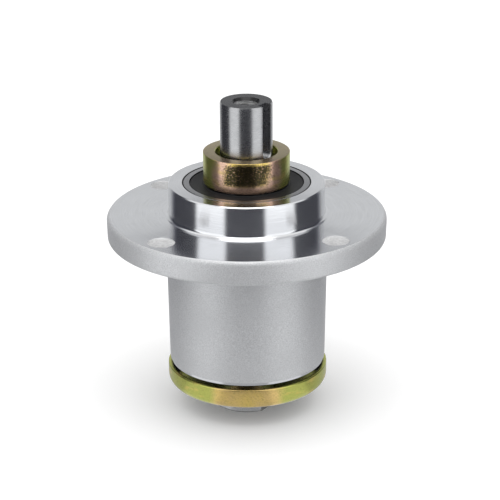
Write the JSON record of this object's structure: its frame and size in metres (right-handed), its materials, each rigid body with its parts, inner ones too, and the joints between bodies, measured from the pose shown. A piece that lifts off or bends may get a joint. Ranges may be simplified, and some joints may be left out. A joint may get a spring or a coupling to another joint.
{
  "type": "mower deck spindle",
  "caption": "Flanged mower deck spindle: aluminium bearing housing with a four-hole flange and pilot boss, keyed steel shaft on sealed ball bearings, zinc collar and dust cup.",
  "frame": {"origin": "centre of the flange's machined top face, where it seats against the deck", "axes": "+Z along the shaft, towards the keyed pulley end; the picture is taken from -Y and a little above"},
  "size_m": [0.1366, 0.1364, 0.1561],
  "materials": {
    "cast_aluminium": "as cast, turned on its faces",
    "ground_steel": "ground",
    "bearing_steel": "ground",
    "plain_steel": "plain",
    "yellow_zinc": "yellow zinc plated",
    "seal_rubber": "matte"
  },
  "bodies": {
    "housing": {"housing": "cast_aluminium", "upper_outer_ring": "bearing_steel", "upper_top_seal": "seal_rubber", "upper_bottom_seal": "seal_rubber", "lower_outer_ring": "bearing_steel", "lower_top_seal": "seal_rubber", "lower_bottom_seal": "seal_rubber"},
    "spindle": {"spindle_shaft": "ground_steel", "top_collar": "yellow_zinc", "spacer_tube": "plain_steel", "dust_cup": "yellow_zinc", "upper_inner_ring": "bearing_steel", "lower_inner_ring": "bearing_steel"},
    "upper_cage": {"upper_cage_top_half": "plain_steel", "upper_cage_bottom_half": "plain_steel", "upper_cage_rivets": "plain_steel"},
    "upper_ball_1": {"upper_ball_1": "bearing_steel"},
    "upper_ball_2": {"upper_ball_2": "bearing_steel"},
    "upper_ball_3": {"upper_ball_3": "bearing_steel"},
    "upper_ball_4": {"upper_ball_4": "bearing_steel"},
    "upper_ball_5": {"upper_ball_5": "bearing_steel"},
    "upper_ball_6": {"upper_ball_6": "bearing_steel"},
    "upper_ball_7": {"upper_ball_7": "bearing_steel"},
    "upper_ball_8": {"upper_ball_8": "bearing_steel"},
    "upper_ball_9": {"upper_ball_9": "bearing_steel"},
    "lower_cage": {"lower_cage_top_half": "plain_steel", "lower_cage_bottom_half": "plain_steel", "lower_cage_rivets": "plain_steel"},
    "lower_ball_1": {"lower_ball_1": "bearing_steel"},
    "lower_ball_2": {"lower_ball_2": "bearing_steel"},
    "lower_ball_3": {"lower_ball_3": "bearing_steel"},
    "lower_ball_4": {"lower_ball_4": "bearing_steel"},
    "lower_ball_5": {"lower_ball_5": "bearing_steel"},
    "lower_ball_6": {"lower_ball_6": "bearing_steel"},
    "lower_ball_7": {"lower_ball_7": "bearing_steel"},
    "lower_ball_8": {"lower_ball_8": "bearing_steel"},
    "lower_ball_9": {"lower_ball_9": "bearing_steel"}
  },
  "joints": [
    {"name": "spindle_spin", "type": "hinge", "parent": "housing", "child": "spindle", "pos_m": [0, 0, 0], "axis": [0, 0, 1], "continuous": true},
    {"name": "upper_cage_spin", "type": "hinge", "parent": "housing", "child": "upper_cage", "pos_m": [0, 0, 0.00765], "axis": [0, 0, 1], "continuous": true},
    {"name": "upper_ball_1_roll", "type": "hinge", "parent": "upper_cage", "child": "upper_ball_1", "pos_m": [0.023, 0, 0.00765], "axis": [0, 0, 1], "continuous": true},
    {"name": "upper_ball_2_roll", "type": "hinge", "parent": "upper_cage", "child": "upper_ball_2", "pos_m": [0.01762, 0.01478, 0.00765], "axis": [0, 0, 1], "continuous": true},
    {"name": "upper_ball_3_roll", "type": "hinge", "parent": "upper_cage", "child": "upper_ball_3", "pos_m": [0.00399, 0.02265, 0.00765], "axis": [0, 0, 1], "continuous": true},
    {"name": "upper_ball_4_roll", "type": "hinge", "parent": "upper_cage", "child": "upper_ball_4", "pos_m": [-0.0115, 0.01992, 0.00765], "axis": [0, 0, 1], "continuous": true},
    {"name": "upper_ball_5_roll", "type": "hinge", "parent": "upper_cage", "child": "upper_ball_5", "pos_m": [-0.02161, 0.00787, 0.00765], "axis": [0, 0, 1], "continuous": true},
    {"name": "upper_ball_6_roll", "type": "hinge", "parent": "upper_cage", "child": "upper_ball_6", "pos_m": [-0.02161, -0.00787, 0.00765], "axis": [0, 0, 1], "continuous": true},
    {"name": "upper_ball_7_roll", "type": "hinge", "parent": "upper_cage", "child": "upper_ball_7", "pos_m": [-0.0115, -0.01992, 0.00765], "axis": [0, 0, 1], "continuous": true},
    {"name": "upper_ball_8_roll", "type": "hinge", "parent": "upper_cage", "child": "upper_ball_8", "pos_m": [0.00399, -0.02265, 0.00765], "axis": [0, 0, 1], "continuous": true},
    {"name": "upper_ball_9_roll", "type": "hinge", "parent": "upper_cage", "child": "upper_ball_9", "pos_m": [0.01762, -0.01478, 0.00765], "axis": [0, 0, 1], "continuous": true},
    {"name": "lower_cage_spin", "type": "hinge", "parent": "housing", "child": "lower_cage", "pos_m": [0, 0, -0.0677], "axis": [0, 0, 1], "continuous": true},
    {"name": "lower_ball_1_roll", "type": "hinge", "parent": "lower_cage", "child": "lower_ball_1", "pos_m": [0.023, 0, -0.0677], "axis": [0, 0, 1], "continuous": true},
    {"name": "lower_ball_2_roll", "type": "hinge", "parent": "lower_cage", "child": "lower_ball_2", "pos_m": [0.01762, 0.01478, -0.0677], "axis": [0, 0, 1], "continuous": true},
    {"name": "lower_ball_3_roll", "type": "hinge", "parent": "lower_cage", "child": "lower_ball_3", "pos_m": [0.00399, 0.02265, -0.0677], "axis": [0, 0, 1], "continuous": true},
    {"name": "lower_ball_4_roll", "type": "hinge", "parent": "lower_cage", "child": "lower_ball_4", "pos_m": [-0.0115, 0.01992, -0.0677], "axis": [0, 0, 1], "continuous": true},
    {"name": "lower_ball_5_roll", "type": "hinge", "parent": "lower_cage", "child": "lower_ball_5", "pos_m": [-0.02161, 0.00787, -0.0677], "axis": [0, 0, 1], "continuous": true},
    {"name": "lower_ball_6_roll", "type": "hinge", "parent": "lower_cage", "child": "lower_ball_6", "pos_m": [-0.02161, -0.00787, -0.0677], "axis": [0, 0, 1], "continuous": true},
    {"name": "lower_ball_7_roll", "type": "hinge", "parent": "lower_cage", "child": "lower_ball_7", "pos_m": [-0.0115, -0.01992, -0.0677], "axis": [0, 0, 1], "continuous": true},
    {"name": "lower_ball_8_roll", "type": "hinge", "parent": "lower_cage", "child": "lower_ball_8", "pos_m": [0.00399, -0.02265, -0.0677], "axis": [0, 0, 1], "continuous": true},
    {"name": "lower_ball_9_roll", "type": "hinge", "parent": "lower_cage", "child": "lower_ball_9", "pos_m": [0.01762, -0.01478, -0.0677], "axis": [0, 0, 1], "continuous": true}
  ],
  "couplings": [
    {"joint": "upper_cage_spin", "follows": "spindle_spin", "ratio": 0.39647},
    {"joint": "upper_ball_1_roll", "follows": "spindle_spin", "ratio": -2.3112},
    {"joint": "upper_ball_2_roll", "follows": "spindle_spin", "ratio": -2.3112},
    {"joint": "upper_ball_3_roll", "follows": "spindle_spin", "ratio": -2.3112},
    {"joint": "upper_ball_4_roll", "follows": "spindle_spin", "ratio": -2.3112},
    {"joint": "upper_ball_5_roll", "follows": "spindle_spin", "ratio": -2.3112},
    {"joint": "upper_ball_6_roll", "follows": "spindle_spin", "ratio": -2.3112},
    {"joint": "upper_ball_7_roll", "follows": "spindle_spin", "ratio": -2.3112},
    {"joint": "upper_ball_8_roll", "follows": "spindle_spin", "ratio": -2.3112},
    {"joint": "upper_ball_9_roll", "follows": "spindle_spin", "ratio": -2.3112},
    {"joint": "lower_cage_spin", "follows": "spindle_spin", "ratio": 0.39647},
    {"joint": "lower_ball_1_roll", "follows": "spindle_spin", "ratio": -2.3112},
    {"joint": "lower_ball_2_roll", "follows": "spindle_spin", "ratio": -2.3112},
    {"joint": "lower_ball_3_roll", "follows": "spindle_spin", "ratio": -2.3112},
    {"joint": "lower_ball_4_roll", "follows": "spindle_spin", "ratio": -2.3112},
    {"joint": "lower_ball_5_roll", "follows": "spindle_spin", "ratio": -2.3112},
    {"joint": "lower_ball_6_roll", "follows": "spindle_spin", "ratio": -2.3112},
    {"joint": "lower_ball_7_roll", "follows": "spindle_spin", "ratio": -2.3112},
    {"joint": "lower_ball_8_roll", "follows": "spindle_spin", "ratio": -2.3112},
    {"joint": "lower_ball_9_roll", "follows": "spindle_spin", "ratio": -2.3112}
  ]
}
